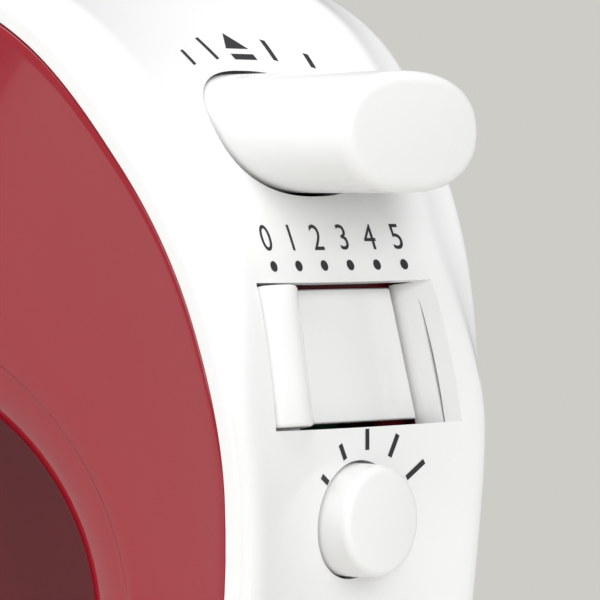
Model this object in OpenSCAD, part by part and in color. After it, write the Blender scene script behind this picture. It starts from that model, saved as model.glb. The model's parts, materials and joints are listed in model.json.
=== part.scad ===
// Hand mixer standing on its heel, nose up.
// +Z runs from heel to nose, +X is the grip side, -X is the beater side.
// The origin lies in the flat heel face, under the centre of the nose.

/* [Case] */
// Radius of the round nose in the side view
nose_r = 66; // [64:0.5:68]
// Height of the centre of the nose above the heel
nose_z = 130; // [128:1:134]
// Radius of the two heel corners in the side view
heel_r = 12; // [8:1:16]
// Inward lean of the grip and belly lines, in degrees
taper = 6.5; // [5:0.5:7.5]
// Half of the width of the control face
spine_half = 22.5; // [22.5:0.5:25]
// How much each side swells out towards the motor
flare = 15.5; // [15:0.5:17]
// Wall thickness of the mouldings
wall = 2.2; // [1.8:0.1:2.6]
// Width of the white band that wraps onto each side
band = 4; // [3.8:0.1:5]
// How far the edges of the control face stand in front of its middle, at the nose
ridge_nose = 1; // [0:0.1:1.5]
// The same at the turbo button
ridge_grip = 3; // [0:0.1:3.5]
// How much further forward the two edges stand at the very top
ridge_top = 3; // [0:0.1:3.5]

/* [Finger opening] */
// Radius of the large corner behind the controls
opening_r = 32.4; // [31.5:0.1:33]
// Radius of the other corners
opening_small_r = 7.5; // [7:0.1:9]
// Depth of the rolled lip around the opening
lip = 9; // [8:0.5:10]

/* [Controls] */
// Height of the eject button above the heel
eject_z = 169.3; // [168:0.1:170]
// Length and height of the oval eject button
eject_size = [26.4, 15.5];
// How far the button's end lies from the axis of the nose
eject_end_x = 75.8; // [72:0.1:78]
// Press of the eject button
eject_travel = 8; // [4:0.5:8]
// Angle of the speed switch above the axis of the nose, in degrees
speed_angle = 9.6; // [9:0.1:10]
// Side-to-side travel of the speed slider
speed_travel = 22; // [18:0.5:22]
// Height of the turbo button above the heel
turbo_z = 119.8; // [119:0.1:121]
// Diameter of the turbo button
turbo_d = 14.7; // [13:0.1:15]
// Press of the turbo button
turbo_travel = 2.2; // [1:0.1:2.2]

/* [Drive] */
// Distance of the motor axis from the axis of the nose
motor_x = -32; // [-33:0.5:-31.5]
// Height of the two beater axes above the heel
gear_z = 158; // [157.5:0.5:158.5]
// Half of the spacing of the two beaters
gear_y = 18; // [18:0.1:18.4]
// Number of teeth on each worm wheel
wheel_teeth = 30; // [24:1:36]
// Largest radius of a beater cage
beater_r = 20; // [16:0.5:20]

/* [Hidden] */
$fn = 48;
seam = 0.15;
heel_seam_x = -8;
fit = 0.05;
white = [0.95, 0.95, 0.93];
red = [0.62, 0.07, 0.12];
steel = [0.72, 0.73, 0.75];
copper = [0.72, 0.38, 0.2];
nylon = [0.88, 0.86, 0.78];
black = [0.12, 0.12, 0.13];
brass = [0.8, 0.65, 0.3];
heel_x = (nose_r - heel_r + sin(taper) * (heel_r - nose_z)) / cos(taper);
opening_c = [7.6, 106];
opening_low_r = 10.8;
opening_low_z = 44;
opening_low_x = opening_c[0]
    + (opening_r - opening_low_r + sin(taper) * (opening_low_z - opening_c[1])) / cos(taper);
opening_belly_x = -0.8;
crease = 8.4;
stator_z = [58, 88];
bolt_points = [for (x = [-14, 14], y = [-20.5, 20.5]) [x, y]];
flange_x = 40.2;
spindle_top = -20;
yoke_x = spindle_top + 4 + eject_travel;
spring_wire = 0.8;

// ---------- curves and sweeps ----------

function mix(a, b, t) = a + (b - a) * t;
function arc(c, r, a0, a1, n) = [for (i = [0:n]) let (a = mix(a0, a1, i / n)) c + r * [cos(a), sin(a)]];
function between(a, b, n) = [for (i = [1:n - 1]) mix(a, b, i / n)];
function last(v) = v[len(v) - 1];
function smooth(t) = let (u = max(0, min(1, t))) u * u * (3 - 2 * u);

// Half width of the case at a point [x, z] of the side view: it swells towards the belly and the nose
function half_width(p) = spine_half
    + flare * (1 - (1 - smooth((nose_r - p[0]) / 90)) * (1 - smooth((p[1] - 105) / 130)));

// How far the edges of the control face stand in front of its middle, at a height z
function ridge(z) = mix(ridge_nose, ridge_grip, smooth((145 - z) / 35))
    - ridge_grip * smooth((100 - z) / 60) + ridge_top * smooth((z - 165) / 25);

// Outline point moved forward by a share of the ridge, on the grip side alone
function forward(p, share = 1) = [p[0] + share * ridge(p[1]) * smooth(p[0] / 40), p[1]];

// Grip half of the case outline, moved inwards by d, from the heel seam to the nose seam
function spine_path(d) = let (
    heel = arc([heel_x, heel_r], heel_r - d, -90, -taper, 5),
    nose = arc([0, nose_z], nose_r - d, -taper, 89.8, 20),
    start = [heel_seam_x + seam, d])
    concat([start], between(start, heel[0], 4), heel, between(last(heel), nose[0], 8), nose);

// Belly half of the outline, from the nose seam back to the heel seam
function belly_path(d) = let (
    nose = arc([0, nose_z], nose_r - d, 90.2, 180 + taper, 16),
    heel = arc([-heel_x, heel_r], heel_r - d, 180 + taper, 270, 5),
    end = [heel_seam_x - seam, d])
    concat(nose, between(last(nose), heel[0], 8), heel, between(last(heel), end, 4), [end]);

// Closed loop of four corners [centre, radius, start angle, end angle], moved inwards by d
function loop(corners, d) = let (
    steps = [6, 14, 14, 6],
    a = [for (i = [0:3]) arc(corners[i][0], corners[i][1] - d, corners[i][2], corners[i][3], steps[i])])
    concat(a[0], between(last(a[0]), a[1][0], 8), a[1], a[2], between(last(a[2]), a[3][0], 8), a[3],
        between(last(a[3]), a[0][0], 6));

case_corners = [
    [[heel_x, heel_r], heel_r, -90, -taper],
    [[0, nose_z], nose_r, -taper, 87],
    [[0, nose_z], nose_r, 93, 180 + taper],
    [[-heel_x, heel_r], heel_r, 180 + taper, 270]];
opening_corners = [
    [[opening_low_x, opening_low_z], opening_low_r, -90, -taper],
    [opening_c, opening_r, -taper, 87],
    [[opening_belly_x + opening_small_r, opening_c[1] + opening_r - opening_small_r], opening_small_r, 93, 180],
    [[opening_belly_x + opening_small_r, opening_low_z - opening_low_r + opening_small_r],
        opening_small_r, 180, 270]];

// Solid through a row of sections with equal point counts, closed into a ring or capped
module sweep(sections, ring = false) {
    n = len(sections);
    m = len(sections[0]);
    spans = ring ? n : n - 1;
    sides = [for (i = [0:spans - 1], j = [0:m - 1])
        let (a = i * m, b = ((i + 1) % n) * m, k = (j + 1) % m)
        each [[a + j, b + k, b + j], [a + j, a + k, b + k]]];
    far = (n - 1) * m;
    caps = ring ? [] : [for (j = [0:m / 2 - 2])
        let (a = j, b = j + 1, c = m - 2 - j, d = m - 1 - j)
        each [[a, c, b], [a, d, c], [far + a, far + b, far + c], [far + a, far + c, far + d]]];
    polyhedron([for (s = sections) each s], concat(sides, caps), convexity = 10);
}

// Points of one section: each [x, z] point is pushed sideways to the case's half width less an inset
function side_point(p, inset, side) = [p[0], side * (half_width(p) - inset), p[1]];

module rod_x(x0, x1, r, y = 0, z = 0) {
    translate([x0, y, z]) rotate([0, 90, 0]) cylinder(h = x1 - x0, r = r);
}

module rod_y(y0, y1, r, x = 0, z = 0) {
    translate([x, y1, z]) rotate([90, 0, 0]) cylinder(h = y1 - y0, r = r);
}

module rod_z(z0, z1, r, x = motor_x, y = 0) {
    translate([x, y, z0]) cylinder(h = z1 - z0, r = r);
}

module tube_x(x0, x1, outer, inner, y = 0, z = 0) {
    difference() {
        rod_x(x0, x1, outer, y, z);
        rod_x(x0 - 1, x1 + 1, inner, y, z);
    }
}

module tube_z(z0, z1, outer, inner) {
    difference() {
        rod_z(z0, z1, outer);
        rod_z(z0 - 1, z1 + 1, inner);
    }
}

// Box given by its lowest and highest corners
module span(low, high) {
    translate(low) cube(high - low);
}

// Frame of the speed switch, tilted with the nose: local x is the distance from the nose axis
module speed_frame() {
    translate([0, 0, nose_z]) rotate([0, -speed_angle, 0]) children();
}

// Coil spring along Z
module coil_spring(r, length, turns) {
    steps = 14 * turns;
    sides = 6;
    sweep([for (i = [0:steps])
        let (a = 360 * i / 14, z = mix(spring_wire, length - spring_wire, i / steps))
        [for (j = [0:sides - 1])
            let (b = 360 * j / sides, q = r + spring_wire * cos(b) / 2)
            [q * cos(a), q * sin(a), z + spring_wire * sin(b) / 2]]]);
}

// Oval of the eject button, in the Y-Z plane, extruded along X
module oval_x(x0, x1, size) {
    shift = (size[0] - size[1]) / 2;
    translate([x0, 0, eject_z]) rotate([90, 0, 90]) linear_extrude(x1 - x0) union() {
        translate([-shift, 0]) circle(d = size[1]);
        translate([shift, 0]) circle(d = size[1]);
        square([2 * shift, size[1]], center = true);
    }
}

// ---------- case ----------

// Section of a white cover: [distance in from the outline, inset from the half width]
cover_outer = [[band, 0], [1.8, 0], [1, 0.6], [0.25, 1.8], [0, 4]];
cover_inner = [[band, wall], [wall + 1.2, wall], [wall + 0.6, wall + 0.4], [wall + 0.2, wall + 1.2],
    [wall, wall + 2.9]];

// Places across the middle of the face, as a share of the way to its edge
dish = [0.75, 0.5, 0.25];

function mirrored(v) = [for (i = [len(v) - 1:-1:0]) v[i]];

// One side of a cover's section, from the panel seam to the middle of the face
function cover_half(paths, profile, i, side) = let (
    edge = half_width(forward(last(paths)[i])) - last(profile)[1])
    concat(
        [for (j = [0:len(profile) - 1]) side_point(forward(paths[j][i]), profile[j][1], side)],
        [for (f = dish) let (p = forward(last(paths)[i], f * f)) [p[0], side * f * edge, p[1]]]);

function cover_row(paths, profile, i) = concat(
    cover_half(paths, profile, i, -1),
    [[last(paths)[i][0], 0, last(paths)[i][1]]],
    mirrored(cover_half(paths, profile, i, 1)));

function cover_sections(outer, inner) = [for (i = [0:len(outer[0]) - 1])
    concat(cover_row(outer, cover_outer, i), mirrored(cover_row(inner, cover_inner, i)))];

module spine_shell() {
    sweep(cover_sections([for (q = cover_outer) spine_path(q[0])], [for (q = cover_inner) spine_path(q[0])]));
}

module belly_shell() {
    sweep(cover_sections([for (q = cover_outer) belly_path(q[0])], [for (q = cover_inner) belly_path(q[0])]));
}

// Right-hand end of the speed window: the foot of its curved flank at a height z of the switch's frame
function window_foot(z) = mix(16.3, 14.4, (z + 9.4) / 18.8);

// The flank leans outwards by this much at a distance r from the axis of the nose
function window_lean(r) = r < 61.8 ? 0 : 0.62 * (r - 61.8) * (1 - 0.03 * (r - 61.8));

// Window of the speed switch, in the switch's own frame
module speed_window() {
    levels = [52, 61.8, 63.4, 65, 66.6, 75];
    speed_frame() sweep([for (z = [9.4, -9.4]) concat(
        [for (r = levels) [r, -17, z]],
        [for (r = mirrored(levels)) [r, window_foot(z) + window_lean(r), z]])]);
}

module spine_cover() color(white) difference() {
    spine_shell();
    speed_window();
    oval_x(40, 80, eject_size + [1, 1]);
    rod_x(50, 80, turbo_d / 2 + 0.25, 0, turbo_z);
    rod_x(40, 70, 6, 0, 18);
}

module belly_housing() color(white) difference() {
    belly_shell();
    for (y = [-gear_y, gear_y]) rod_x(-70, -45, 8.1, y, gear_z);
}

// Side panel between the case outline and the finger opening: a crease, then a slope and a lip into it
module side_panel(side) {
    rim = [for (p = loop(case_corners, band + 0.3)) forward(p)];
    near = loop(opening_corners, -crease);
    rows = [
        [rim, 0],
        for (t = [1, 2, 3]) [mix(rim, near, t / 4), 0],
        [near, 0],
        [loop(opening_corners, -3.7), 1.9],
        [loop(opening_corners, -1.2), 4],
        [loop(opening_corners, 0), 6.8],
        [loop(opening_corners, 0), lip],
        [loop(opening_corners, -2), lip],
        [loop(opening_corners, -2), 7],
        [loop(opening_corners, -4.6), 4.1],
        [near, 2.4],
        for (t = [3, 2, 1]) [mix(rim, near, t / 4), wall],
        [rim, wall]];
    order = side < 0 ? rows : mirrored(rows);
    sweep([for (i = [0:len(rim) - 1]) [for (r = order) side_point(r[0][i], r[1], side)]], ring = true);
}

// Screws through the right-hand panel: two into the gearbox frame and two into the motor bracket
frame_screws = [[-40.4, 150], [-23.8, 150]];
motor_screws = [[-44, 36.5], [-20, 36.5]];
screw_head = spine_half + flare - 0.1;

module side_panel_left() color(red) side_panel(-1);

module side_panel_right() color(red) difference() {
    union() {
        side_panel(1);
        for (p = concat(frame_screws, motor_screws)) rod_y(28.3, 36.4, 3.4, p[0], p[1]);
    }
    for (p = concat(frame_screws, motor_screws)) {
        rod_y(28, 45, 1.6, p[0], p[1]);
        rod_y(screw_head - 1, 45, 3.1, p[0], p[1]);
    }
}

module grip_liner() color(red) {
    inner = loop(opening_corners, 0);
    outer = loop(opening_corners, -2);
    rows = [[inner, 1], [outer, 1], [outer, -1], [inner, -1]];
    sweep([for (i = [0:len(inner) - 1]) [for (r = rows) side_point(r[0][i], lip + 0.15, r[1])]], ring = true);
}

module cord_inlet() color(black) difference() {
    union() {
        rod_x(46, 58, 5.9, 0, 18);
        rod_x(55, 57, 7.6, 0, 18);
    }
    rod_x(45, 59, 3.6, 0, 18);
}

module screw_y(y_head, length) {
    difference() {
        union() {
            rod_y(y_head - 1, y_head, 2.9);
            rod_y(y_head - 1 - length, y_head - 1, 1.4);
        }
        for (a = [0, 90]) rotate([0, a, 0]) span([-2, y_head - 0.6, -0.4], [2, y_head + 1, 0.4]);
    }
}

module case_screws() color(steel) for (p = concat(frame_screws, motor_screws))
    translate([p[0], 0, p[1]]) screw_y(screw_head, 11.6);

// ---------- speed switch ----------

module switch_carrier() color(red) difference() {
    union() {
        span([55.5, -19.5, 108], [57, 19.5, 151]);
        for (y = [-19.5, 17.5]) span([49, y, 126], [55.5, y + 2, 150]);
    }
    span([54, -17.5, 129.6], [59, 14.5, 131.6]);
    rod_x(54, 59, 3.2, 0, turbo_z);
}

module slider_plate() color(white) speed_frame() translate([60.6, 0, 0]) rotate([90, 0, 90])
    linear_extrude(1.4) polygon([[-16.6, -8.3], [window_foot(-8.3) - 0.7, -8.3],
        [window_foot(9) - 1, 9], [-16.6, 9]]);

module speed_slider() color(white) speed_frame() union() {
    intersection() {
        span([62.2, -16.7, -8.9], [68, -8.2, 9]);
        translate([0, 0, -8.9]) linear_extrude(17.9) union() {
            translate([63, -13]) circle(r = 4.7);
            translate([62.2, -16.7]) square([4.9, 3.7]);
        }
    }
    span([53.5, -16, -9.2], [63.2, -9, -8.6]);
}

module slider_wiper() color(brass) speed_frame() span([51.6, -15, -9.2], [53.5, -10, -8.6]);

module detent_leaf() color(steel) {
    tooth = speed_travel / 5;
    crest = [for (i = [0:5], s = [0, 1, 2]) [s == 1 ? 0.7 : 0, -14 + tooth * i + s * tooth / 3]];
    back = [for (i = [len(crest) - 1:-1:0]) crest[i] - [0.4, 0]];
    translate([48.2, 0, 133]) linear_extrude(3) polygon(concat(crest, back));
}

module speed_board() color([0.2, 0.42, 0.25]) difference() {
    span([45.6, -17, 124], [47.2, 17, 146]);
    for (y = [-14, 14], z = [127, 143]) rod_x(45, 48, 1.2, y, z);
}

module suppression_capacitor() color([0.85, 0.7, 0.2]) span([39.5, -15, 131.5], [45.6, -2, 144]);

module heat_sink() color(steel) difference() {
    span([39.5, 3, 131.5], [45.6, 15, 144]);
    for (y = [5:2.6:12.8]) span([38, y, 131], [43.6, y + 1.2, 145]);
}

// ---------- eject ----------

// The flange keeps the button inside the round nose, whose inner wall curves over it
module eject_button() color(white) union() {
    oval_x(flange_x, eject_end_x - 1.2, eject_size);
    oval_x(eject_end_x - 1.2, eject_end_x, eject_size - [2, 2]);
    oval_x(flange_x - 2.6, flange_x, eject_size + [4, 4]);
}

module eject_yoke() color(steel) union() {
    rod_x(yoke_x + 3, flange_x - 2.6, 3, 0, eject_z);
    span([yoke_x, -23, gear_z - 4], [yoke_x + 3, 23, eject_z + 5]);
    for (y = [-gear_y, gear_y]) rod_x(spindle_top + 0.5, yoke_x + 1, 2.6, y, gear_z);
}

module eject_guide() color(nylon) difference() {
    span([20, -29, eject_z - 9], [24, 29, eject_z + 8]);
    rod_x(19, 25, 3 + fit, 0, eject_z);
}

module eject_spring() color(steel) translate([24, 0, eject_z]) rotate([0, 90, 0])
    coil_spring(4.5, flange_x - 2.6 - 24, 5);

// ---------- turbo ----------

module turbo_button() color(white) difference() {
    union() {
        rod_x(59.6, 69.6, turbo_d / 2, 0, turbo_z);
        rod_x(69.6, 70.4, turbo_d / 2 - 0.5, 0, turbo_z);
        rod_x(59.6, 60.8, turbo_d / 2 + 1.3, 0, turbo_z);
        rod_x(55.4, 60, 2.4, 0, turbo_z);
    }
    difference() {
        rod_x(59, 66.5, 5.6, 0, turbo_z);
        rod_x(55, 67, 2.4, 0, turbo_z);
    }
}

module turbo_spring() color(steel) translate([57, 0, turbo_z]) rotate([0, 90, 0]) coil_spring(4, 9.4, 4);

module turbo_switch() color(black) union() {
    span([46.4, -10, turbo_z - 4], [51.6, 10, turbo_z + 4]);
    rod_x(51.6, 55.2 - turbo_travel, 1.2, 0, turbo_z);
}

// ---------- motor ----------

module stator_core() color(steel) translate([motor_x, 0, stator_z[0]])
    linear_extrude(stator_z[1] - stator_z[0]) difference() {
        union() {
            difference() {
                square([40, 46], center = true);
                square([30, 36], center = true);
            }
            square([14, 38], center = true);
            intersection() {
                circle(r = 15.3);
                square([22, 40], center = true);
            }
        }
        circle(r = 13.3);
        for (p = bolt_points) translate(p) circle(r = 1.4 + fit);
    }

module field_coil(side) {
    translate([motor_x, 0, 0]) difference() {
        span([-12, side > 0 ? 15.6 : -17.8, stator_z[0] - 5], [12, side > 0 ? 17.8 : -15.6, stator_z[1] + 5]);
        span([-7.2, -20, stator_z[0] - 0.2], [7.2, 20, stator_z[1] + 0.2]);
    }
}

module field_coil_left() color(copper) field_coil(-1);

module field_coil_right() color(copper) field_coil(1);

slots = 12;

module armature_core() color(steel) difference() {
    rod_z(stator_z[0], stator_z[1], 12.9);
    rod_z(stator_z[0] - 1, stator_z[1] + 1, 3);
    for (i = [1:slots]) translate([motor_x, 0, 0]) rotate(360 * i / slots)
        rod_z(stator_z[0] - 1, stator_z[1] + 1, 1.5, 10);
}

module armature_winding() color(copper) union() {
    tube_z(stator_z[0] - 5, stator_z[0], 11.5, 3);
    tube_z(stator_z[1], stator_z[1] + 5, 11.5, 3);
    for (i = [1:slots]) translate([motor_x, 0, 0]) rotate(360 * i / slots)
        rod_z(stator_z[0] - 1, stator_z[1] + 1, 1.4, 10);
}

module commutator() color(copper) difference() {
    tube_z(43.5, 52.5, 8, 3);
    for (i = [1:slots]) translate([motor_x, 0, 0]) rotate(360 * i / slots)
        span([6.5, -0.25, 43], [9, 0.25, 50]);
}

module motor_shaft() color(steel) rod_z(33, 178, 3);

module worm() color(steel) difference() {
    translate([motor_x, 0, 147]) linear_extrude(22, twist = 360 * 4, slices = 48)
        translate([0.7, 0]) circle(r = 4.2, $fn = 14);
    rod_z(146, 170, 3);
}

module cooling_fan() color(nylon) difference() {
    union() {
        rod_z(98, 108, 6);
        rod_z(98, 99.4, 21);
        for (i = [1:11]) translate([motor_x, 0, 0]) rotate(360 * i / 11)
            span([5, -0.7, 99], [20.5, 0.7, 108]);
    }
    rod_z(97, 109, 3);
}

module brush_holder(side) {
    translate([motor_x, 0, 48]) difference() {
        span([-5, side > 0 ? 10 : -24, -4.5], [5, side > 0 ? 24 : -10, 4.5]);
        span([-3.1, -25, -2.6], [3.1, 25, 2.6]);
    }
}

module brush_holder_left() color(brass) brush_holder(-1);

module brush_holder_right() color(brass) brush_holder(1);

module carbon_brush(side) {
    translate([motor_x, 0, 48])
        span([-3, side > 0 ? 8.3 : -20, -2.5], [3, side > 0 ? 20 : -8.3, 2.5]);
}

module carbon_brush_left() color(black) carbon_brush(-1);

module carbon_brush_right() color(black) carbon_brush(1);

module rear_bearing() color(brass) tube_z(33.5, 39.5, 7, 3 + fit);

module middle_bearing() color(brass) tube_z(138, 143, 7, 3 + fit);

module front_bearing() color(brass) tube_z(171.5, 176.5, 6, 3 + fit);

// Cradle that holds the rear bearing, the brush holders and the tail of the stator
module motor_bracket() color(nylon) difference() {
    union() {
        span([motor_x - 18, -28, 34], [motor_x + 18, 28, 39]);
        for (y = [-28, 24.2]) span([motor_x - 8, y, 34], [motor_x + 8, y + 3.8, 56]);
    }
    rod_z(33, 40, 7);
    for (p = motor_screws) rod_y(20, 40, 1.4, p[0], p[1]);
    for (p = bolt_points) rod_z(33, 40, 1.4 + fit, motor_x + p[0], p[1]);
}

// Long screws that clamp the stator to the bracket
module bracket_screws() color(steel) for (p = bolt_points) {
    rod_z(32, 34, 2.8, motor_x + p[0], p[1]);
    rod_z(34, 84, 1.4, motor_x + p[0], p[1]);
}

// ---------- gearbox ----------

module gearbox_frame() color(nylon) difference() {
    union() {
        span([-50, -28, 142], [-46, 28, 166.5]);
        span([-24, -28, 142], [-20, 28, 168]);
        span([-50, -28, 138], [-20, 28, 143]);
        span([-43, -8.6, 171.5], [-20, 8.6, 176.5]);
        span([-24, -8.6, 167], [-20, 8.6, 173]);
        for (y = [-28, 25]) span([-50, y, 142], [-20, y + 3, 146.5]);
        for (y = [-28, 25], x = [-44, -27.6]) span([x, y, 146], [x + 7.4, y + 3, 154]);
    }
    for (y = [-gear_y, gear_y]) {
        rod_x(-52, -45, 6, y, gear_z);
        rod_x(-26, -19, 6, y, gear_z);
    }
    rod_z(137, 144, 7);
    rod_z(171, 177, 6);
    for (p = frame_screws) rod_y(20, 40, 1.4, p[0], p[1]);
}

// Toothed outline of a worm wheel
function wheel_outline(r, depth, n) = [for (i = [0:n - 1], s = [0:3])
    let (a = 360 * (i + s / 4) / n, q = s < 2 ? r : r - depth) q * [cos(a), sin(a)]];

module worm_wheel(y) {
    translate([motor_x - 4, y, gear_z]) rotate([0, 90, 0]) linear_extrude(8) difference() {
        polygon(wheel_outline(12.5, 1.4, wheel_teeth));
        circle(r = 4.3);
    }
}

module worm_wheel_left() color(nylon) worm_wheel(-gear_y);

module worm_wheel_right() color(nylon) worm_wheel(gear_y);

module spindle(y) {
    tube_x(-54, spindle_top, 4.3, 3.25, y, gear_z);
}

module spindle_left() color(steel) spindle(-gear_y);

module spindle_right() color(steel) spindle(gear_y);

module lower_bushes() color(brass) for (y = [-gear_y, gear_y]) tube_x(-50, -46, 6, 4.3 + fit, y, gear_z);

module upper_bushes() color(brass) for (y = [-gear_y, gear_y]) tube_x(-24, -20, 6, 4.3 + fit, y, gear_z);

module socket_collar(y) {
    difference() {
        union() {
            rod_x(-64.5, -54.5, 8, y, gear_z);
            rod_x(-66, -64.5, 9.4, y, gear_z);
        }
        rod_x(-70, -50, 5, y, gear_z);
    }
}

module socket_collar_left() color(white) socket_collar(-gear_y);

module socket_collar_right() color(white) socket_collar(gear_y);

// ---------- beaters ----------

beater_top = spindle_top - 0.2;
cage_top = 76;
cage_mid = 128;

// Outline of one pair of blades, moved inwards by d: [radius, distance down the shank]
function blade_outline(d) = concat(
    [[0, cage_top + 1.5 * d], [beater_r - d, cage_top + 18 + 0.4 * d]],
    arc([0, cage_mid], beater_r - d, 0, 180, 18),
    [[d - beater_r, cage_top + 18 + 0.4 * d]]);

module beater(y, turn) {
    translate([beater_top, y, gear_z]) rotate([0, -90, 0]) rotate(turn) union() {
        cylinder(h = cage_mid + beater_r - 1, r = 3.15);
        translate([0, 0, 47]) cylinder(h = 4, r = 5.6);
        for (a = [0, 90]) rotate([90, 0, a]) translate([0, 0, -0.7]) linear_extrude(1.4) difference() {
            polygon(blade_outline(0));
            polygon(blade_outline(3));
        }
    }
}

module beater_left() color(steel) beater(-gear_y, 0);

module beater_right() color(steel) beater(gear_y, 45);

// ---------- the whole mixer ----------

spine_cover();
belly_housing();
side_panel_left();
side_panel_right();
grip_liner();
switch_carrier();
slider_plate();
speed_slider();
slider_wiper();
detent_leaf();
speed_board();
suppression_capacitor();
heat_sink();
eject_button();
eject_yoke();
eject_guide();
eject_spring();
turbo_button();
turbo_spring();
turbo_switch();
stator_core();
field_coil_left();
field_coil_right();
armature_core();
armature_winding();
commutator();
motor_shaft();
worm();
cooling_fan();
brush_holder_left();
brush_holder_right();
carbon_brush_left();
carbon_brush_right();
rear_bearing();
middle_bearing();
front_bearing();
motor_bracket();
gearbox_frame();
worm_wheel_left();
worm_wheel_right();
spindle_left();
spindle_right();
lower_bushes();
upper_bushes();
socket_collar_left();
socket_collar_right();
beater_left();
beater_right();
cord_inlet();
case_screws();
bracket_screws();
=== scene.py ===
"""Looks of the hand mixer: smooth mouldings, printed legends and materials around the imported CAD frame."""

import json
import math

import bmesh
import bpy
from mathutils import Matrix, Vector


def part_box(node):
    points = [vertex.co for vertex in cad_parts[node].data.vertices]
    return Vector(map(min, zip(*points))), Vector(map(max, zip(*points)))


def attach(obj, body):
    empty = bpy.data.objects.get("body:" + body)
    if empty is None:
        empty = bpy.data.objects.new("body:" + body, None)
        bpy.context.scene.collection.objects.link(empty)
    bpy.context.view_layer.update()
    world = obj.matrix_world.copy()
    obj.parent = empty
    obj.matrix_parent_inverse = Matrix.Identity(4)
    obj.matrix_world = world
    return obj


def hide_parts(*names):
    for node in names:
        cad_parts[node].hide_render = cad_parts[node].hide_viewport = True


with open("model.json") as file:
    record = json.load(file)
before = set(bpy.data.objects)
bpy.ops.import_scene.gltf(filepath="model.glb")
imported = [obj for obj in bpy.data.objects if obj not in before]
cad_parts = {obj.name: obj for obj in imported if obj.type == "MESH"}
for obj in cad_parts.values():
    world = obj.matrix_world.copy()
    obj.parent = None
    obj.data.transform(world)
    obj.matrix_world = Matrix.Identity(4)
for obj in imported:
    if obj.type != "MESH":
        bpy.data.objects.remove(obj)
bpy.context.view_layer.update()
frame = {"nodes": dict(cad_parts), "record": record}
nodes = frame["nodes"]

MM = 0.001

# ---------- the side view of the case, read off the frame ----------

spine_low, spine_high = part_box("spine_cover")
belly_low, belly_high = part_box("belly_housing")

NOSE_Z = 130 * MM
NOSE_R = spine_high[2] - NOSE_Z
FULL_HALF = belly_high[1]
SPINE_HALF = 22.5 * MM
FLARE = FULL_HALF - SPINE_HALF
TAPER = math.radians(6.5)
HEEL_R = 12 * MM
WALL = 2.2 * MM
BAND = 4 * MM
RIDGE_NOSE = 1 * MM
RIDGE_GRIP = 3 * MM
RIDGE_TOP = 3 * MM
SEAM = 0.08 * MM
HEEL_SEAM_X = spine_low[0]
TURBO_Z = (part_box("turbo_button")[0][2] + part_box("turbo_button")[1][2]) / 2
EJECT_Z = (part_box("eject_button")[0][2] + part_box("eject_button")[1][2]) / 2
SPEED_ANGLE = math.radians(9.6)
LIP = 9 * MM

HEEL_X = (NOSE_R - HEEL_R + math.sin(TAPER) * (HEEL_R - NOSE_Z)) / math.cos(TAPER)


def smooth(t):
    t = max(0.0, min(1.0, t))
    return t * t * (3 - 2 * t)


def mix(a, b, t):
    return a + (b - a) * t


def half_width(x, z):
    """Half width of the case at a point of the side view: it swells towards the belly and the nose."""
    belly = smooth((NOSE_R - x) / (90 * MM))
    nose = smooth((z - 105 * MM) / (130 * MM))
    return SPINE_HALF + FLARE * (1 - (1 - belly) * (1 - nose))


def ridge(z):
    """How far the edges of the control face stand in front of its middle."""
    rise = mix(RIDGE_NOSE, RIDGE_GRIP, smooth((145 * MM - z) / (35 * MM)))
    heel = RIDGE_GRIP * smooth((100 * MM - z) / (60 * MM))
    top = RIDGE_TOP * smooth((z - 165 * MM) / (25 * MM))
    return rise - heel + top


def forward(x, z, share=1.0):
    """Outline point moved forward by a share of the ridge, on the grip side alone."""
    return x + share * ridge(z) * smooth(x / (40 * MM)), z


def arc(centre, radius, start, end, steps):
    """Points [x, z] along an arc, angles in degrees."""
    angles = [math.radians(mix(start, end, i / steps)) for i in range(steps + 1)]
    return [(centre[0] + radius * math.cos(a), centre[1] + radius * math.sin(a)) for a in angles]


def between(a, b, steps):
    """Points strictly between a and b."""
    return [(mix(a[0], b[0], i / steps), mix(a[1], b[1], i / steps)) for i in range(1, steps)]


def spine_path(d):
    """Grip half of the case outline, moved inwards by d, from the heel seam to the nose seam."""
    taper = math.degrees(TAPER)
    start = (HEEL_SEAM_X + SEAM, d)
    heel = arc((HEEL_X, HEEL_R), HEEL_R - d, -90, -taper, 14)
    nose = arc((0, NOSE_Z), NOSE_R - d, -taper, 89.9, 110)
    return [start] + between(start, heel[0], 12) + heel + between(heel[-1], nose[0], 30) + nose


def belly_path(d):
    """Belly half of the outline, from the nose seam back to the heel seam."""
    taper = math.degrees(TAPER)
    nose = arc((0, NOSE_Z), NOSE_R - d, 90.1, 180 + taper, 100)
    heel = arc((-HEEL_X, HEEL_R), HEEL_R - d, 180 + taper, 270, 14)
    end = (HEEL_SEAM_X - SEAM, d)
    return nose + between(nose[-1], heel[0], 30) + heel + between(heel[-1], end, 12) + [end]


def loop(corners, d):
    """Closed loop of four corners (centre, radius, start, end), moved inwards by d."""
    steps = (18, 70, 70, 18)
    arcs = [arc(c, r - d, a0, a1, n) for (c, r, a0, a1), n in zip(corners, steps)]
    return (
        arcs[0] + between(arcs[0][-1], arcs[1][0], 28)
        + arcs[1] + between(arcs[1][-1], arcs[2][0], 4)
        + arcs[2] + between(arcs[2][-1], arcs[3][0], 28)
        + arcs[3] + between(arcs[3][-1], arcs[0][0], 28)
    )


TAPER_DEG = math.degrees(TAPER)
CASE_CORNERS = [
    ((HEEL_X, HEEL_R), HEEL_R, -90, -TAPER_DEG),
    ((0, NOSE_Z), NOSE_R, -TAPER_DEG, 89),
    ((0, NOSE_Z), NOSE_R, 91, 180 + TAPER_DEG),
    ((-HEEL_X, HEEL_R), HEEL_R, 180 + TAPER_DEG, 270),
]

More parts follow.
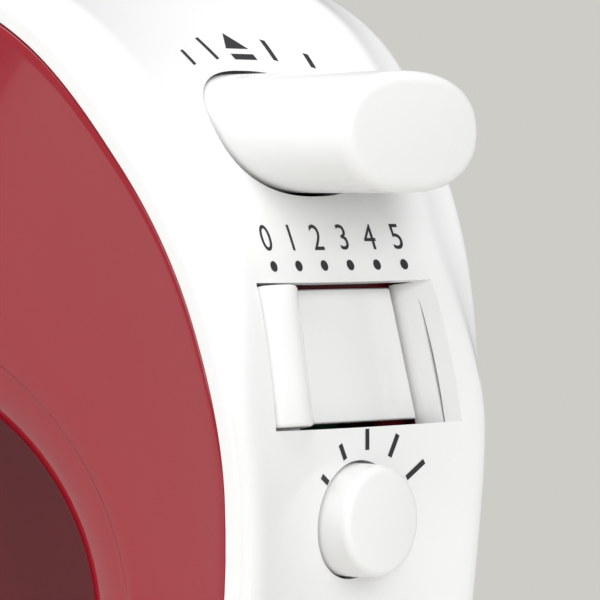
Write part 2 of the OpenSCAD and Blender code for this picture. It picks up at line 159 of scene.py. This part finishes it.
# The finger opening has one large corner behind the controls and three smaller ones
OPENING_C = (7.6 * MM, 106 * MM)
OPENING_R = 32.4 * MM
OPENING_LOW_R = 10.8 * MM
OPENING_LOW_Z = 44 * MM
OPENING_SMALL_R = 7.5 * MM
OPENING_BELLY_X = -0.8 * MM
CREASE = 8.4 * MM
OPENING_LOW_X = OPENING_C[0] + (
    OPENING_R - OPENING_LOW_R + math.sin(TAPER) * (OPENING_LOW_Z - OPENING_C[1])
) / math.cos(TAPER)
OPENING_SMALL_X = OPENING_BELLY_X + OPENING_SMALL_R
OPENING_CORNERS = [
    ((OPENING_LOW_X, OPENING_LOW_Z), OPENING_LOW_R, -90, -TAPER_DEG),
    (OPENING_C, OPENING_R, -TAPER_DEG, 89),
    ((OPENING_SMALL_X, OPENING_C[1] + OPENING_R - OPENING_SMALL_R), OPENING_SMALL_R, 91, 180),
    ((OPENING_SMALL_X, OPENING_LOW_Z - OPENING_LOW_R + OPENING_SMALL_R), OPENING_SMALL_R, 180, 270),
]


# ---------- mesh helpers ----------

def finish_mesh(name, verts, faces, material, angle=35):
    """Object from points and faces, smooth apart from edges sharper than the angle."""
    mesh = bpy.data.meshes.new(name)
    mesh.from_pydata(verts, [], faces)
    tidy = bmesh.new()
    tidy.from_mesh(mesh)
    bmesh.ops.remove_doubles(tidy, verts=tidy.verts, dist=1e-7)
    bmesh.ops.recalc_face_normals(tidy, faces=tidy.faces)
    tidy.to_mesh(mesh)
    tidy.free()
    piece = bpy.data.objects.new(name, mesh)
    bpy.context.scene.collection.objects.link(piece)
    mesh.materials.append(material)
    shade(piece, angle)
    return piece


def shade(piece, angle=35):
    mesh = piece.data
    mesh.polygons.foreach_set("use_smooth", [True] * len(mesh.polygons))
    mesh.set_sharp_from_angle(angle=math.radians(angle))


def sweep(name, sections, material, ring=False, angle=35):
    """Solid through a row of sections with equal point counts, closed into a ring or capped."""
    count, size = len(sections), len(sections[0])
    verts = [p for section in sections for p in section]
    faces = []
    for i in range(count if ring else count - 1):
        a, b = i * size, ((i + 1) % count) * size
        faces += [(a + j, a + (j + 1) % size, b + (j + 1) % size, b + j) for j in range(size)]
    if not ring:
        far = (count - 1) * size
        faces.append(tuple(range(size)))
        faces.append(tuple(far + j for j in reversed(range(size))))
    return finish_mesh(name, verts, faces, material, angle)


def settle(piece, body, node):
    """Rides the piece on its body, in place of a CAD node."""
    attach(piece, body)
    if node:
        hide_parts(*([node] if isinstance(node, str) else node))
    return piece


def cut(piece, cutters, angle=35):
    """Cuts the cutters out of the piece, then removes them."""
    for cutter in cutters:
        modifier = piece.modifiers.new("cut", "BOOLEAN")
        modifier.operation = "DIFFERENCE"
        modifier.solver = "EXACT"
        modifier.object = cutter
    apply_modifiers(piece)
    for cutter in cutters:
        bpy.data.objects.remove(cutter, do_unlink=True)
    shade(piece, angle)


def apply_modifiers(piece):
    depsgraph = bpy.context.evaluated_depsgraph_get()
    baked = bpy.data.meshes.new_from_object(piece.evaluated_get(depsgraph))
    piece.modifiers.clear()
    piece.data = baked


def speed_point(r, y, z):
    """A point of the speed switch's tilted frame: r from the nose axis, z up the face."""
    c, s = math.cos(SPEED_ANGLE), math.sin(SPEED_ANGLE)
    return (r * c - z * s, y, NOSE_Z + r * s + z * c)


# ---------- materials ----------

def material(name, color, roughness, metallic=0.0, coat=0.0, grain=900.0, bump=0.02, speck=0.02, sheen=None):
    """Moulded or machined surface: fine grain in the colour, the gloss and the relief."""
    mat = bpy.data.materials.new(name)
    mat.use_nodes = True
    tree = mat.node_tree
    shader = tree.nodes["Principled BSDF"]
    shader.inputs["Metallic"].default_value = metallic
    shader.inputs["Coat Weight"].default_value = coat
    shader.inputs["Coat Roughness"].default_value = 0.04
    shader.inputs["IOR"].default_value = 1.5
    place = tree.nodes.new("ShaderNodeTexCoord")
    fine = tree.nodes.new("ShaderNodeTexNoise")
    fine.inputs["Scale"].default_value = grain
    fine.inputs["Detail"].default_value = 3
    tree.links.new(place.outputs["Object"], fine.inputs["Vector"])
    broad = tree.nodes.new("ShaderNodeTexNoise")
    broad.inputs["Scale"].default_value = 14
    tree.links.new(place.outputs["Object"], broad.inputs["Vector"])
    tint = tree.nodes.new("ShaderNodeMix")
    tint.data_type = "RGBA"
    tint.inputs["A"].default_value = (*[c * (1 - speck) for c in color], 1)
    tint.inputs["B"].default_value = (*[min(1, c * (1 + speck)) for c in color], 1)
    tree.links.new(broad.outputs["Fac"], tint.inputs["Factor"])
    tree.links.new(tint.outputs["Result"], shader.inputs["Base Color"])
    gloss = tree.nodes.new("ShaderNodeMapRange")
    gloss.inputs["To Min"].default_value = roughness * 0.85
    gloss.inputs["To Max"].default_value = roughness * 1.2
    tree.links.new(fine.outputs["Fac"], gloss.inputs["Value"])
    tree.links.new(gloss.outputs["Result"], shader.inputs["Roughness"])
    relief = tree.nodes.new("ShaderNodeBump")
    relief.inputs["Strength"].default_value = bump
    relief.inputs["Distance"].default_value = 0.0002
    tree.links.new(fine.outputs["Fac"], relief.inputs["Height"])
    tree.links.new(relief.outputs["Normal"], shader.inputs["Normal"])
    return mat


WHITE = material("white_gloss", (0.86, 0.86, 0.855), 0.16, coat=0.35, bump=0.01, speck=0.006)
CONTROL = material("control_white", (0.86, 0.86, 0.85), 0.22, coat=0.2, bump=0.015, speck=0.006)
RED = material("red_gloss", (0.3, 0.006, 0.016), 0.1, coat=0.6, bump=0.008, speck=0.03)
CARRIER = material("red_carrier", (0.2, 0.006, 0.014), 0.4, bump=0.05)
INK = material("legend_ink", (0.018, 0.018, 0.02), 0.5, bump=0.03)
SPRING = material("spring_steel", (0.56, 0.57, 0.6), 0.3, metallic=1, grain=1500, bump=0.05)
LAMINATED = material("laminated_steel", (0.33, 0.34, 0.36), 0.45, metallic=1, grain=2400, bump=0.15)
CHROME = material("chrome", (0.78, 0.79, 0.8), 0.08, metallic=1, bump=0.01)
COPPER = material("copper", (0.72, 0.33, 0.16), 0.35, metallic=1, grain=1800, bump=0.15)
BRASS = material("brass", (0.74, 0.58, 0.27), 0.32, metallic=1, bump=0.05)
CARBON = material("carbon", (0.03, 0.03, 0.032), 0.7, bump=0.2)
BLACK = material("black_plastic", (0.022, 0.022, 0.024), 0.45, bump=0.12)
NYLON = material("nylon", (0.74, 0.72, 0.63), 0.42, bump=0.06)
BOARD = material("board_green", (0.03, 0.16, 0.06), 0.35, bump=0.05)
RESIN = material("capacitor_yellow", (0.75, 0.52, 0.08), 0.25, bump=0.03)
ALUMINIUM = material("aluminium", (0.68, 0.69, 0.7), 0.35, metallic=1, grain=2000, bump=0.08)
FLOOR = material("floor", (0.66, 0.655, 0.635), 0.7, bump=0.02)

BY_SLOT = {
    "white_case": WHITE, "white_control": CONTROL, "red_panel": RED, "red_carrier": CARRIER,
    "spring_steel": SPRING, "laminated_steel": LAMINATED, "chrome_wire": CHROME,
    "copper_wire": COPPER, "brass": BRASS, "carbon": CARBON, "black_plastic": BLACK,
    "nylon": NYLON, "board_green": BOARD, "capacitor_yellow": RESIN, "aluminium": ALUMINIUM,
    "legend_ink": INK,
}


def paint_nodes():
    """Every CAD node that shows gets the procedural material of its slot."""
    for part in frame["record"]["subparts"]:
        piece = nodes[part["node"]]
        piece.data.materials.clear()
        piece.data.materials.append(BY_SLOT[part["material_slot"]])


# ---------- case ----------

def bevel_width(z):
    """Width of the soft slope beside the control face: narrow at the grip, wide towards the nose."""
    return mix(0.4, 7.6, smooth((z - 131 * MM) / (28 * MM))) * MM


CREST = 2.05 * MM


def cover_profile():
    """Half of the outer section, from the panel seam to the control face: (depth, inset(z))."""
    strip = [(BAND, lambda z: 0.25 * MM)]
    strip.append((BAND - 0.12 * MM, lambda z: 0.05 * MM))
    strip.append((BAND - 0.4 * MM, lambda z: 0))
    strip += [(d * MM, lambda z: 0) for d in (3.3, 2.8, 2.3)]
    for k in range(1, 5):
        turn = math.radians(18 * k)
        strip.append(((2.1 - 0.5 * math.sin(turn)) * MM, lambda z, t=turn: 0.5 * MM * (1 - math.cos(t))))
    for k in range(1, 10):
        t = k / 10
        depth = mix(1.6, 0.1, t) + 0.16 * math.sin(math.pi * t)
        strip.append((depth * MM, lambda z, u=t: mix(0.4 * MM, bevel_width(z) + 0.4 * MM, u)))
    for t in (0.25, 0.5, 0.75, 1.0):
        strip.append((0.1 * (1 - t) ** 2 * MM, lambda z, u=t: bevel_width(z) + mix(0.4 * MM, CREST, u)))
    return strip


def cover_side(profile, paths, crest, i, wall=0.0):
    """Outer or inner section at step i: both sides of the profile with the dished face between."""
    half = []
    for (_, inset), points in zip(profile, paths):
        x, z = forward(*points[i])
        half.append((x, half_width(x, z) - inset(z) - wall, z))
    edge = half[-1][1]
    across = 24
    dish = []
    for k in range(1, across):
        share = 1 - 2 * k / across
        x, z = forward(*crest[i], share ** 2)
        dish.append((x, share * edge, z))
    return half + dish + [(x, -y, z) for x, y, z in reversed(half)]


def cover(name, path, material_used):
    """White cover: the outer section swept along the outline, with a wall of even thickness."""
    profile = cover_profile()
    outer_paths = [path(d) for d, _ in profile]
    inner_paths = [path(max(WALL, d + 0.05 * MM)) for d, _ in profile]
    sections = [
        cover_side(profile, outer_paths, outer_paths[-1], i)
        + cover_side(profile, inner_paths, path(WALL), i, WALL)[::-1]
        for i in range(len(outer_paths[0]))
    ]
    return capped_strip(name, sections, material_used)


def capped_strip(name, sections, material_used):
    """Sweep of a thin folded section, whose two ends are closed by strips between outer and inner."""
    count, size = len(sections), len(sections[0])
    verts = [p for section in sections for p in section]
    faces = []
    for i in range(count - 1):
        a, b = i * size, (i + 1) * size
        faces += [(a + j, a + (j + 1) % size, b + (j + 1) % size, b + j) for j in range(size)]
    for base in (0, (count - 1) * size):
        last = base + size - 1
        faces += [(base + j, base + j + 1, last - 1 - j, last - j) for j in range(size // 2 - 1)]
    return finish_mesh(name, verts, faces, material_used, angle=30)


def oval_ring(x, width, height, z_centre, exponent=2.35, steps=96):
    """Ring of points of a superellipse across X."""
    ring = []
    for k in range(steps):
        a = 2 * math.pi * k / steps
        c, s = math.cos(a), math.sin(a)
        y = width / 2 * math.copysign(abs(c) ** (2 / exponent), c)
        z = height / 2 * math.copysign(abs(s) ** (2 / exponent), s)
        ring.append((x, y, z_centre + z))
    return ring


def round_ring(x, radius, z_centre, y_centre=0.0, steps=72):
    angles = [2 * math.pi * k / steps for k in range(steps)]
    return [(x, y_centre + radius * math.cos(a), z_centre + radius * math.sin(a)) for a in angles]


# The speed window, in the switch's own frame: half height, left end, and where its flank starts to lean
WINDOW_HALF = 9.4
WINDOW_LEFT = -17
FLANK_FOOT_R = 61.8


def window_foot(z):
    """Foot of the window's curved right-hand flank, at a height z of the switch's frame."""
    return mix(16.3, 14.4, (z / MM + WINDOW_HALF) / (2 * WINDOW_HALF)) * MM


def window_lean(r):
    """How far the flank leans outwards at a distance r from the axis of the nose."""
    rise = max(0.0, r / MM - FLANK_FOOT_R)
    return 0.62 * rise * (1 - 0.03 * rise) * MM


def window_cutter():
    """Cutter for the speed window: straight at the left and flared at the right."""
    levels = [r * MM for r in (50, FLANK_FOOT_R, 62.5, 63.2, 64, 64.8, 65.6, 66.4, 67.2, 68, 75)]
    sections = []
    for z in (-WINDOW_HALF * MM, WINDOW_HALF * MM):
        left = [speed_point(r, WINDOW_LEFT * MM, z) for r in levels]
        right = [speed_point(r, window_foot(z) + window_lean(r), z) for r in reversed(levels)]
        sections.append(left + right)
    return sweep("window_cutter", sections, WHITE)


EJECT_LOW, EJECT_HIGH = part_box("eject_button")
FLANGE_EXTRA = 4 * MM
FLANGE_DEPTH = 2.6 * MM
EJECT_W = EJECT_HIGH[1] - EJECT_LOW[1] - FLANGE_EXTRA
EJECT_H = EJECT_HIGH[2] - EJECT_LOW[2] - FLANGE_EXTRA
TURBO_LOW, TURBO_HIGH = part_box("turbo_button")
TURBO_R = 7.35 * MM
INLET_HOLE_R = 6 * MM
COLLAR_HOLE_R = 8.1 * MM


def make_spine():
    piece = cover("spine_shell", spine_path, WHITE)
    gap = 0.45 * MM
    eject_hole = sweep("eject_cutter", [
        oval_ring(x, EJECT_W + 2 * gap, EJECT_H + 2 * gap, EJECT_Z) for x in (40 * MM, 80 * MM)
    ], WHITE)
    turbo_hole = sweep("turbo_cutter", [
        round_ring(x, TURBO_R + 0.3 * MM, TURBO_Z) for x in (50 * MM, 80 * MM)
    ], WHITE)
    inlet_low, inlet_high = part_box("cord_inlet")
    inlet_hole = sweep("inlet_cutter", [
        round_ring(x, INLET_HOLE_R, (inlet_low[2] + inlet_high[2]) / 2) for x in (40 * MM, 70 * MM)
    ], WHITE)
    cut(piece, [window_cutter(), eject_hole, turbo_hole, inlet_hole], angle=30)
    return settle(piece, "housing", "spine_cover")


def make_belly():
    piece = cover("belly_shell", belly_path, WHITE)
    cutters = []
    for side in ("left", "right"):
        low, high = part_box(f"socket_collar_{side}")
        y, z = (low[1] + high[1]) / 2, (low[2] + high[2]) / 2
        cutters.append(sweep("collar_cutter", [
            round_ring(x, COLLAR_HOLE_R, z, y) for x in (-70 * MM, -45 * MM)
        ], WHITE))
    cut(piece, cutters, angle=30)
    return settle(piece, "housing", "belly_housing")


def panel_rows():
    """Section of a side panel: (loop of points, inset in mm), from the seam to the lip and back inside.

    From the crease an elliptical slope leads down to the wall of the opening.
    """
    near = loop(OPENING_CORNERS, -CREASE)

    def edge(d):
        return [forward(*p) for p in loop(CASE_CORNERS, BAND + d * MM)]

    def inside(d):
        return loop(OPENING_CORNERS, d * MM)

    def blend(t):
        start = edge(1.5)
        return [(mix(a[0], b[0], t), mix(a[1], b[1], t)) for a, b in zip(start, near)]

    rim = edge(0.12)
    outer = [(rim, 0.9), (edge(0.14), 0.55), (edge(0.25), 0.3)]
    outer += [(edge(0.45), 0.12), (edge(0.75), 0.03), (edge(1.1), 0)]
    outer += [(blend(k / 16), 0) for k in range(0, 17)]
    outer += [(inside(-8.25), 0.05), (inside(-8.1), 0.24), (inside(-7.9), 0.3)]
    slope, drop, depth = 7.9, 0.3, 4.9
    for k in range(1, 19):
        turn = math.radians(5 * k)
        outer.append((inside(slope * math.sin(turn) - slope), drop + depth * (1 - math.cos(turn))))
    outer += [(inside(0), 6.8), (inside(0), LIP / MM)]
    inner = [(inside(-2), LIP / MM), (inside(-2), 7), (inside(-4.6), 4.1), (near, 2.6)]
    inner += [(blend(k / 4), 2.2) for k in (3, 2, 1)] + [(edge(1.5), 2.2), (rim, 2.2)]
    return outer + inner


SCREW_HOLE_R = 3.1 * MM
SCREW_PLACES = ((-40.4, 150), (-23.8, 150), (-44, 36.5), (-20, 36.5))


def make_panel(side, name, node):
    rows = panel_rows()
    sections = []
    for i in range(len(rows[0][0])):
        section = []
        for points, inset in rows:
            x, z = points[i]
            section.append((x, side * (half_width(x, z) - inset * MM), z))
        sections.append(section)
    piece = sweep(name, sections, RED, ring=True, angle=40)
    if side > 0:
        cutters = []
        for x, z in SCREW_PLACES:
            ring = [(py, pz) for _, py, pz in round_ring(0, SCREW_HOLE_R, z * MM, x * MM)]
            cutters.append(sweep("screw_cutter", [
                [(px, y, pz) for px, pz in ring] for y in (28 * MM, 45 * MM)
            ], RED))
        cut(piece, cutters, angle=40)
    return settle(piece, "housing", node)


def make_liner():
    """Wall of the finger opening, with a shallow groove near each end."""
    inner = loop(OPENING_CORNERS, 0)
    outer = loop(OPENING_CORNERS, -2 * MM)
    groove = loop(OPENING_CORNERS, -0.8 * MM)
    stops = (LIP / MM + 0.05, 11, 11.2, 13.2, 13.4)
    sections = []
    for i, (x, z) in enumerate(inner):
        section = []
        for sign in (1, -1):
            order = stops if sign > 0 else stops[::-1]
            for stop in order:
                deep = stop in (11.2, 13.2)
                gx, gz = groove[i] if deep else (x, z)
                section.append((gx, sign * (half_width(gx, gz) - stop * MM), gz))
        for sign in (-1, 1):
            ox, oz = outer[i]
            section.append((ox, sign * (half_width(ox, oz) - LIP - 0.05 * MM), oz))
        sections.append(section)
    piece = sweep("opening_liner", sections, RED, ring=True, angle=40)
    return settle(piece, "housing", "grip_liner")


# ---------- controls ----------

def make_eject():
    """Oval push button with a rounded rim, a faintly domed end and a hidden flange."""
    end = EJECT_HIGH[0]
    flange = EJECT_LOW[0] + FLANGE_DEPTH
    wide, high = EJECT_W + FLANGE_EXTRA, EJECT_H + FLANGE_EXTRA
    rings = [oval_ring(x, wide, high, EJECT_Z) for x in (EJECT_LOW[0], flange)]
    rings += [oval_ring(x, EJECT_W, EJECT_H, EJECT_Z) for x in (flange, 50 * MM, 60 * MM, 70 * MM)]
    radius = 1.9 * MM
    for k in range(0, 9):
        turn = math.radians(90 * k / 8)
        inset = radius * (1 - math.cos(turn))
        x = end - 0.35 * MM - radius + radius * math.sin(turn)
        rings.append(oval_ring(x, EJECT_W - 2 * inset, EJECT_H - 2 * inset, EJECT_Z))
    for k in range(1, 8):
        shrink = 1 - k / 8
        x = end - 0.35 * MM * shrink ** 2
        rings.append(oval_ring(
            x, (EJECT_W - 2 * radius) * shrink, (EJECT_H - 2 * radius) * shrink, EJECT_Z))
    piece = sweep("eject_cap", rings, CONTROL, angle=50)
    return settle(piece, "eject", "eject_button")


def make_turbo():
    """Round push button with a soft rim and a faint dome."""
    top = TURBO_HIGH[0]
    rim = 1.1 * MM
    rings = [round_ring(x * MM, TURBO_R + 1.45 * MM, TURBO_Z) for x in (59.6, 60.8)]
    rings += [round_ring(60.8 * MM, TURBO_R, TURBO_Z), round_ring(66 * MM, TURBO_R - 0.05 * MM, TURBO_Z)]
    for k in range(0, 9):
        turn = math.radians(90 * k / 8)
        x = top - 0.3 * MM - rim + rim * math.sin(turn)
        rings.append(round_ring(x, TURBO_R - 0.2 * MM - rim * (1 - math.cos(turn)), TURBO_Z))
    flat = TURBO_R - 0.2 * MM - rim
    for k in range(1, 8):
        t = k / 8
        rings.append(round_ring(top - 0.3 * MM * (1 - t) ** 2, flat * (1 - t), TURBO_Z))
    piece = sweep("turbo_cap", rings, CONTROL, angle=50)
    return settle(piece, "turbo", "turbo_button")


def make_flank():
    """Thickening behind the cover, which carries the curved flank of the window further in."""
    levels = [r * MM for r in (60.8, FLANK_FOOT_R, 62.6, 63.4, 64.2)]
    back = 18.6 * MM
    sections = []
    for z in (-WINDOW_HALF * MM, 0, WINDOW_HALF * MM):
        flank = [speed_point(r, window_foot(z) + window_lean(r), z) for r in levels]
        sections.append(flank + [speed_point(levels[-1], back, z), speed_point(levels[0], back, z)])
    piece = sweep("window_flank", sections, WHITE)
    return settle(piece, "housing", None)


def make_slider():
    """Thumb ridge: a flat facet at the left that rises to a crest, then rolls over to the right."""
    outline = [(62.2, -16.7), (66.3, -16.75), (66.75, -16.6), (66.95, -16.3), (67.35, -15.1)]
    for k in range(0, 15):
        turn = math.radians(mix(-11, 90, k / 14))
        outline.append((63 + 4.7 * math.cos(turn), -13 + 4.7 * math.sin(turn)))
    outline += [(62.5, -8.35), (62.2, -8.6)]
    low, high = -8.95, 8.95
    steps = [(low, 0.5), (low + 0.08, 0.28), (low + 0.25, 0.1), (low + 0.5, 0)]
    steps += [(-4, 0), (0, 0), (4, 0)]
    steps += [(high - 0.5, 0), (high - 0.25, 0.1), (high - 0.08, 0.28), (high, 0.5)]
    sections = []
    for z, inset in steps:
        shrink = 1 - inset / 5
        sections.append([
            speed_point(mix(64.2, r, shrink) * MM, mix(-13, y, shrink) * MM, z * MM) for r, y in outline
        ])
    piece = sweep("thumb_ridge", sections, CONTROL, angle=50)
    return settle(piece, "slider", None)


def make_slider_foot():
    """Tab that carries the thumb ridge through the gap under the plate."""
    corners = [(53.5, -16), (63.2, -16), (63.2, -9), (53.5, -9)]
    sections = [[speed_point(r * MM, y * MM, z * MM) for r, y in corners] for z in (-9.2, -8.6)]
    piece = sweep("slider_foot", sections, CONTROL)
    return settle(piece, "slider", "speed_slider")


def make_plate():
    """White plate under the ridge, folded faintly along its middle, with a skewed right end."""
    sections = []
    for z in (-8.3, -8.15, 0, 8.85, 9.0):
        right = window_foot(z * MM) / MM - mix(0.7, 1.0, (z + 8.3) / 17.3)
        edge = 0.15 if abs(z) in (8.3, 9.0) else 0
        outline = [(60.6, -16.6), (61.75 - edge, -16.6), (61.85 - edge, -6), (61.98 - edge, 2.2)]
        outline += [(61.99 - edge, 2.6), (61.8 - edge, right - 0.5), (61.6 - edge, right), (60.6, right)]
        sections.append([speed_point(r * MM, y * MM, z * MM) for r, y in outline])
    piece = sweep("window_plate", sections, CONTROL, angle=25)
    return settle(piece, "housing", "slider_plate")


# ---------- legends ----------

PRINT_LIFT = 0.04 * MM


def nose_point(y, z):
    """Point just off the dished control face, at a height z and a place y across it."""
    x = math.sqrt((NOSE_R + PRINT_LIFT) ** 2 - (z - NOSE_Z) ** 2)
    edge = half_width(*forward(x, z)) - bevel_width(z) - CREST
    return (forward(x, z, (y / edge) ** 2)[0], y, z)


def glyph_outline(text, size):
    """Flat mesh of a character in the built-in face: (points, faces), centred, size high."""
    curve = bpy.data.curves.new("glyph", "FONT")
    curve.body = text
    curve.align_x = "CENTER"
    curve.align_y = "CENTER"
    curve.resolution_u = 8
    holder = bpy.data.objects.new("glyph", curve)
    bpy.context.scene.collection.objects.link(holder)
    depsgraph = bpy.context.evaluated_depsgraph_get()
    mesh = bpy.data.meshes.new_from_object(holder.evaluated_get(depsgraph))
    low = min(v.co.y for v in mesh.vertices)
    high = max(v.co.y for v in mesh.vertices)
    left = min(v.co.x for v in mesh.vertices)
    right = max(v.co.x for v in mesh.vertices)
    scale = size / (high - low)
    middle, centre = (left + right) / 2, (low + high) / 2
    points = [((v.co.x - middle) * scale, (v.co.y - centre) * scale) for v in mesh.vertices]
    faces = [tuple(p.vertices) for p in mesh.polygons]
    bpy.data.objects.remove(holder, do_unlink=True)
    return points, faces


def print_on_nose(name, shapes):
    """One thin print, made of flat shapes that are cut finely and wrapped onto the control face.

    A shape is (points, faces, y, z, stretch).
    """
    flat = bmesh.new()
    for points, polygons, y, z, stretch in shapes:
        corners = [flat.verts.new((0, y + px * stretch, z + pz)) for px, pz in points]
        for polygon in polygons:
            flat.faces.new([corners[k] for k in polygon])
    for _ in range(4):
        bmesh.ops.triangulate(flat, faces=flat.faces)
        long_edges = [edge for edge in flat.edges if edge.calc_length() > 0.45 * MM]
        bmesh.ops.subdivide_edges(flat, edges=long_edges, cuts=1)
    for vert in flat.verts:
        vert.co = nose_point(vert.co.y, vert.co.z)
    mesh = bpy.data.meshes.new(name)
    flat.to_mesh(mesh)
    flat.free()
    piece = bpy.data.objects.new(name, mesh)
    bpy.context.scene.collection.objects.link(piece)
    mesh.materials.append(INK)
    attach(piece, "housing")
    return piece


def disc(radius, steps=32):
    angles = [2 * math.pi * k / steps for k in range(steps)]
    return [(radius * math.cos(a), radius * math.sin(a)) for a in angles], [tuple(range(steps))]


def bar(x0, z0, x1, z1, width):
    """Straight stroke with square ends."""
    along = Vector((x1 - x0, z1 - z0)).normalized()
    side = Vector((-along.y, along.x)) * width / 2
    points = [(x0 + side.x, z0 + side.y), (x0 - side.x, z0 - side.y)]
    points += [(x1 - side.x, z1 - side.y), (x1 + side.x, z1 + side.y)]
    return points, [(0, 1, 2, 3)]


STOP_PITCH = 5.03 * MM
DIGIT_Z = 155.9 * MM
DOT_Z = 152.3 * MM
STROKE = 0.75 * MM


def make_digits():
    shapes = []
    for i in range(6):
        y = (i - 2.5) * STOP_PITCH
        points, faces = glyph_outline(str(i), 3.25 * MM)
        shapes.append((points, faces, y, DIGIT_Z, 0.98))
    print_on_nose("speed_numbers", shapes)


def make_dots():
    points, faces = disc(0.68 * MM)
    print_on_nose("speed_dots", [(points, faces, (i - 2.5) * STOP_PITCH, DOT_Z, 1) for i in range(6)])


def make_eject_sign():
    """Generic release sign above the button: a triangle over a bar, flanked by shrinking marks."""
    middle, height = 2.2 * MM, 180.8 * MM
    half, low, high = 2.1 * MM, -0.3 * MM, 1.8 * MM
    triangle = ([(-half, low), (half, low), (0, high)], [(0, 1, 2)])
    line = bar(-half, -1.4 * MM, half, -1.4 * MM, STROKE)
    shapes = [(*triangle, middle, height, 1), (*line, middle, height, 1)]
    for away, drop, tall in ((5.8 * MM, 0.4 * MM, 2.8 * MM), (11.4 * MM, 1.7 * MM, 1.9 * MM)):
        for side in (-1, 1):
            slant = side * 0.12 * tall
            mark = bar(-slant, -tall / 2, slant, tall / 2, STROKE)
            shapes.append((*mark, middle + side * away, height - drop, 1))
    print_on_nose("eject_sign", shapes)


def make_turbo_sign():
    """Generic boost sign over the round button: five radial marks that grow clockwise."""
    shapes = []
    for k, angle in enumerate((-56, -28, 0, 28, 56)):
        turn = math.radians(angle)
        tall = mix(1.7, 3.7, k / 4) * MM
        along = (math.sin(turn), math.cos(turn))
        y, z = 1.4 * MM + 9.0 * MM * along[0], TURBO_Z + 8.9 * MM * along[1]
        shapes.append((*bar(0, 0, tall * along[0], tall * along[1], STROKE), y, z, 1))
    print_on_nose("turbo_sign", shapes)


# ---------- stage, lights and camera ----------

def area_light(name, azimuth, elevation, distance, size, power, color=(1, 1, 1)):
    """Soft box that faces the mixer from an azimuth and elevation in degrees."""
    a, e = math.radians(azimuth), math.radians(elevation)
    aim = Vector((0.03, 0, NOSE_Z))
    away = Vector((math.sin(a) * math.cos(e), -math.cos(a) * math.cos(e), math.sin(e)))
    light = bpy.data.lights.new(name, "AREA")
    light.shape = "RECTANGLE"
    light.size, light.size_y = size
    light.energy = power
    light.color = color
    holder = bpy.data.objects.new(name, light)
    holder.location = aim + away * distance
    holder.rotation_euler = away.to_track_quat("Z", "Y").to_euler()
    bpy.context.scene.collection.objects.link(holder)


def make_stage():
    """Plain pale floor, with soft boxes above and beside it and a background that only the camera sees."""
    steps = 96
    radius = 1.0
    ring = [(radius * math.cos(2 * math.pi * k / steps), radius * math.sin(2 * math.pi * k / steps), 0)
            for k in range(steps)]
    mesh = bpy.data.meshes.new("studio_floor")
    mesh.from_pydata(ring, [], [tuple(range(steps))])
    floor = bpy.data.objects.new("studio_floor", mesh)
    mesh.materials.append(FLOOR)
    bpy.context.scene.collection.objects.link(floor)
    world = bpy.data.worlds.new("studio")
    bpy.context.scene.world = world
    world.use_nodes = True
    backdrop = world.node_tree.nodes["Background"]
    backdrop.inputs["Strength"].default_value = 1
    seen = world.node_tree.nodes.new("ShaderNodeLightPath")
    wall = world.node_tree.nodes.new("ShaderNodeMix")
    wall.data_type = "RGBA"
    wall.inputs["A"].default_value = (0.40, 0.404, 0.407, 1)
    wall.inputs["B"].default_value = (0.610, 0.604, 0.565, 1)
    world.node_tree.links.new(seen.outputs["Is Camera Ray"], wall.inputs["Factor"])
    world.node_tree.links.new(wall.outputs["Result"], backdrop.inputs["Color"])
    area_light("top_softbox", 10, 72, 1.3, (1.3, 1.0), 14)
    area_light("side_softbox", -46, 24, 1.35, (0.95, 0.85), 7)
    area_light("front_fill", 66, 18, 1.6, (0.9, 0.9), 12)
    bpy.context.scene.view_settings.view_transform = "Standard"


VIEW_AZIMUTH = math.radians(42)
VIEW_ELEVATION = math.radians(1.3)
VIEW_DISTANCE = 0.6
VIEW_TARGET = Vector((0.0602, -0.0050, 0.1479))


def make_camera():
    a, e = VIEW_AZIMUTH, VIEW_ELEVATION
    away = Vector((math.sin(a) * math.cos(e), -math.cos(a) * math.cos(e), math.sin(e)))
    lens = bpy.data.cameras.new("camera")
    lens.lens = 282
    lens.sensor_width = 36
    lens.clip_start = 0.01
    camera = bpy.data.objects.new("camera", lens)
    camera.location = VIEW_TARGET + away * VIEW_DISTANCE
    camera.rotation_euler = away.to_track_quat("Z", "Y").to_euler()
    bpy.context.scene.collection.objects.link(camera)
    bpy.context.scene.camera = camera


make_camera()
make_stage()
paint_nodes()
make_spine()
make_belly()
make_panel(-1, "panel_left", "side_panel_left")
make_panel(1, "panel_right", "side_panel_right")
make_liner()
make_eject()
make_turbo()
make_flank()
make_slider()
make_slider_foot()
make_plate()
make_digits()
make_dots()
make_eject_sign()
make_turbo_sign()
